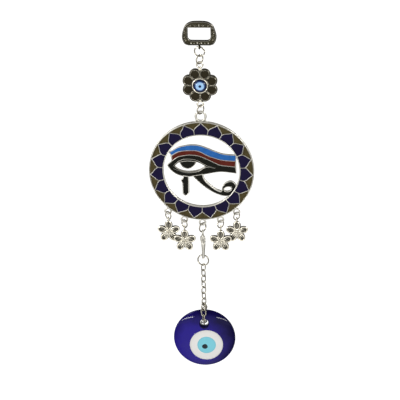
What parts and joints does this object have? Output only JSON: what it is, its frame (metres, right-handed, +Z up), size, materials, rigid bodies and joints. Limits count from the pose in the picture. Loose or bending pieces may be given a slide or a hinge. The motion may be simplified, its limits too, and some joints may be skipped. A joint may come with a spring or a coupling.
{
  "type": "hanging evil eye ornament",
  "caption": "Wall-hung evil eye ornament: hanger plate, rosette, pierced round amulet with an enamelled eye, flower charms, lobster clasp, extender chain and glass eye bead.",
  "frame": {"origin": "middle of the underside of the hanger plate's top bar, the face that rests on the nail or hook", "axes": "+Z up, against the way the ornament hangs; -Y out of the front, towards the viewer; +X to the viewer's right"},
  "size_m": [0.0632, 0.0124, 0.2224],
  "materials": {
    "dark_metal": "dark antique silver plating, worn bright on the raised scrolls",
    "antique_silver": "antique silver plating, satin high spots and dark recesses",
    "olive_fill": "glossy cold enamel",
    "navy_glass": "opaque polished navy glass",
    "pale_blue": "glossy cold enamel",
    "navy": "glossy cold enamel",
    "bronze": "glossy cold enamel",
    "brow_blue": "glossy cold enamel",
    "brow_red": "glossy cold enamel",
    "eye_black": "glossy cold enamel",
    "spring_steel": "bright spring wire",
    "cobalt_glass": "opaque polished cobalt glass",
    "white_glass": "opaque polished white glass",
    "light_blue_glass": "opaque polished light blue glass",
    "black_glass": "opaque polished black glass"
  },
  "bodies": {
    "hanger": {"hanger_plate": "dark_metal"},
    "hanger_ring": {"hanger_ring": "antique_silver"},
    "rosette_top_ring": {"rosette_top_ring": "antique_silver"},
    "rosette": {"rosette_setting": "antique_silver", "rosette_petal_fill_1": "olive_fill", "rosette_petal_fill_2": "olive_fill", "rosette_petal_fill_3": "olive_fill", "rosette_petal_fill_4": "olive_fill", "rosette_petal_fill_5": "olive_fill", "rosette_petal_fill_6": "olive_fill", "rosette_petal_fill_7": "olive_fill", "rosette_petal_fill_8": "olive_fill", "rosette_eye_glass": "navy_glass", "rosette_eye_iris": "pale_blue", "rosette_eye_pupil": "navy_glass"},
    "rosette_bottom_ring": {"rosette_bottom_ring": "antique_silver"},
    "amulet": {"amulet_frame": "antique_silver", "ring_fill_navy": "navy", "ring_fill_bronze": "bronze", "brow_fill_blue": "brow_blue", "brow_fill_red": "brow_red", "eye_fill_black": "eye_black", "iris_fill_black": "eye_black", "stem_fill_black": "eye_black", "leg_fill_black": "eye_black"},
    "charm_ring_1": {"charm_ring_1": "antique_silver"},
    "flower_charm_1": {"flower_charm_1": "antique_silver"},
    "charm_ring_2": {"charm_ring_2": "antique_silver"},
    "flower_charm_2": {"flower_charm_2": "antique_silver"},
    "charm_ring_3": {"charm_ring_3": "antique_silver"},
    "flower_charm_3": {"flower_charm_3": "antique_silver"},
    "charm_ring_4": {"charm_ring_4": "antique_silver"},
    "flower_charm_4": {"flower_charm_4": "antique_silver"},
    "clasp_ring": {"clasp_ring": "antique_silver"},
    "clasp": {"clasp_body": "antique_silver", "clasp_rivet": "antique_silver", "clasp_spring": "spring_steel"},
    "clasp_lever": {"clasp_lever": "antique_silver"},
    "chain_end_ring": {"chain_end_ring": "antique_silver"},
    "chain_link_1": {"chain_link_1": "antique_silver"},
    "chain_link_2": {"chain_link_2": "antique_silver"},
    "chain_link_3": {"chain_link_3": "antique_silver"},
    "chain_link_4": {"chain_link_4": "antique_silver"},
    "chain_link_5": {"chain_link_5": "antique_silver"},
    "chain_link_6": {"chain_link_6": "antique_silver"},
    "chain_link_7": {"chain_link_7": "antique_silver"},
    "bead": {"bead_glass": "cobalt_glass", "bead_white": "white_glass", "bead_light_blue": "light_blue_glass", "bead_pupil": "black_glass", "loop_link_1": "antique_silver", "loop_link_2": "antique_silver", "loop_link_3": "antique_silver", "loop_link_4": "antique_silver", "loop_link_5": "antique_silver", "loop_link_6": "antique_silver", "loop_link_7": "antique_silver", "loop_link_8": "antique_silver", "loop_link_9": "antique_silver"}
  },
  "joints": [
    {"name": "hanger_ring_swing", "type": "hinge", "parent": "hanger", "child": "hanger_ring", "pos_m": [0, 0, -0.01337], "axis": [0, 1, 0], "range_deg": [-25, 25]},
    {"name": "top_ring_swing", "type": "hinge", "parent": "hanger_ring", "child": "rosette_top_ring", "pos_m": [0, 0, -0.0185], "axis": [-0.9781, 0.2079, 0], "range_deg": [-20, 12]},
    {"name": "rosette_swing", "type": "hinge", "parent": "rosette_top_ring", "child": "rosette", "pos_m": [0, 0, -0.02306], "axis": [0.6428, 0.766, 0], "range_deg": [-20, 20]},
    {"name": "bottom_ring_swing", "type": "hinge", "parent": "rosette", "child": "rosette_bottom_ring", "pos_m": [0, 0, -0.05088], "axis": [-1, 0, 0], "range_deg": [-15, 15]},
    {"name": "amulet_swing", "type": "hinge", "parent": "rosette_bottom_ring", "child": "amulet", "pos_m": [0, 0, -0.05523], "axis": [0.6428, 0.766, 0], "range_deg": [-20, 20]},
    {"name": "charm_ring_1_swing", "type": "hinge", "parent": "amulet", "child": "charm_ring_1", "pos_m": [-0.02056, 0, -0.11992], "axis": [1, 0, 0], "range_deg": [0, 12]},
    {"name": "charm_1_swing", "type": "hinge", "parent": "charm_ring_1", "child": "flower_charm_1", "pos_m": [-0.02056, 0, -0.12335], "axis": [0.7071, -0.7071, 0], "range_deg": [0, 15]},
    {"name": "charm_ring_2_swing", "type": "hinge", "parent": "amulet", "child": "charm_ring_2", "pos_m": [-0.01087, 0, -0.12517], "axis": [-1, 0, 0], "range_deg": [0, 12]},
    {"name": "charm_2_swing", "type": "hinge", "parent": "charm_ring_2", "child": "flower_charm_2", "pos_m": [-0.01087, 0, -0.1286], "axis": [-0.7071, 0.7071, 0], "range_deg": [0, 15]},
    {"name": "charm_ring_3_swing", "type": "hinge", "parent": "amulet", "child": "charm_ring_3", "pos_m": [0.01087, 0, -0.12517], "axis": [-1, 0, 0], "range_deg": [0, 12]},
    {"name": "charm_3_swing", "type": "hinge", "parent": "charm_ring_3", "child": "flower_charm_3", "pos_m": [0.01087, 0, -0.1286], "axis": [-0.7071, -0.7071, 0], "range_deg": [0, 15]},
    {"name": "charm_ring_4_swing", "type": "hinge", "parent": "amulet", "child": "charm_ring_4", "pos_m": [0.02056, 0, -0.11992], "axis": [1, 0, 0], "range_deg": [0, 12]},
    {"name": "charm_4_swing", "type": "hinge", "parent": "charm_ring_4", "child": "flower_charm_4", "pos_m": [0.02056, 0, -0.12335], "axis": [0.7071, 0.7071, 0], "range_deg": [0, 15]},
    {"name": "clasp_ring_swing", "type": "hinge", "parent": "amulet", "child": "clasp_ring", "pos_m": [0, 0, -0.12698], "axis": [1, 0, 0], "range_deg": [-15, 15]},
    {"name": "clasp_swing", "type": "hinge", "parent": "clasp_ring", "child": "clasp", "pos_m": [0, 0, -0.13131], "axis": [-0.6428, -0.766, 0], "range_deg": [-20, 20]},
    {"name": "clasp_lever_open", "type": "hinge", "parent": "clasp", "child": "clasp_lever", "pos_m": [-0.00017, 0.00098, -0.13627], "axis": [-0.9848, -0.1736, 0], "range_deg": [0, 17], "stiffness_Nm_per_rad": 0.0005},
    {"name": "end_ring_swing", "type": "hinge", "parent": "clasp", "child": "chain_end_ring", "pos_m": [0, 0, -0.14787], "axis": [-0.1736, 0.9848, 0], "range_deg": [-20, 20]},
    {"name": "link_1_swing", "type": "hinge", "parent": "chain_end_ring", "child": "chain_link_1", "pos_m": [0, 0, -0.15315], "axis": [-0.9781, 0.2079, 0], "range_deg": [-25, 25]},
    {"name": "link_2_swing", "type": "hinge", "parent": "chain_link_1", "child": "chain_link_2", "pos_m": [0, 0, -0.15678], "axis": [0.7071, 0.7071, 0], "range_deg": [-25, 25]},
    {"name": "link_3_swing", "type": "hinge", "parent": "chain_link_2", "child": "chain_link_3", "pos_m": [0, 0, -0.16048], "axis": [-0.7071, 0.7071, 0], "range_deg": [-25, 25]},
    {"name": "link_4_swing", "type": "hinge", "parent": "chain_link_3", "child": "chain_link_4", "pos_m": [0, 0, -0.16418], "axis": [-0.7071, -0.7071, 0], "range_deg": [-25, 25]},
    {"name": "link_5_swing", "type": "hinge", "parent": "chain_link_4", "child": "chain_link_5", "pos_m": [0, 0, -0.16788], "axis": [0.7071, -0.7071, 0], "range_deg": [-25, 25]},
    {"name": "link_6_swing", "type": "hinge", "parent": "chain_link_5", "child": "chain_link_6", "pos_m": [0, 0, -0.17158], "axis": [0.7071, 0.7071, 0], "range_deg": [-25, 25]},
    {"name": "link_7_swing", "type": "hinge", "parent": "chain_link_6", "child": "chain_link_7", "pos_m": [0, 0, -0.17528], "axis": [-0.7071, 0.7071, 0], "range_deg": [-25, 25]},
    {"name": "bead_swing", "type": "hinge", "parent": "chain_link_7", "child": "bead", "pos_m": [0, 0, -0.17898], "axis": [-0.7071, -0.7071, 0], "range_deg": [-15, 15]}
  ]
}
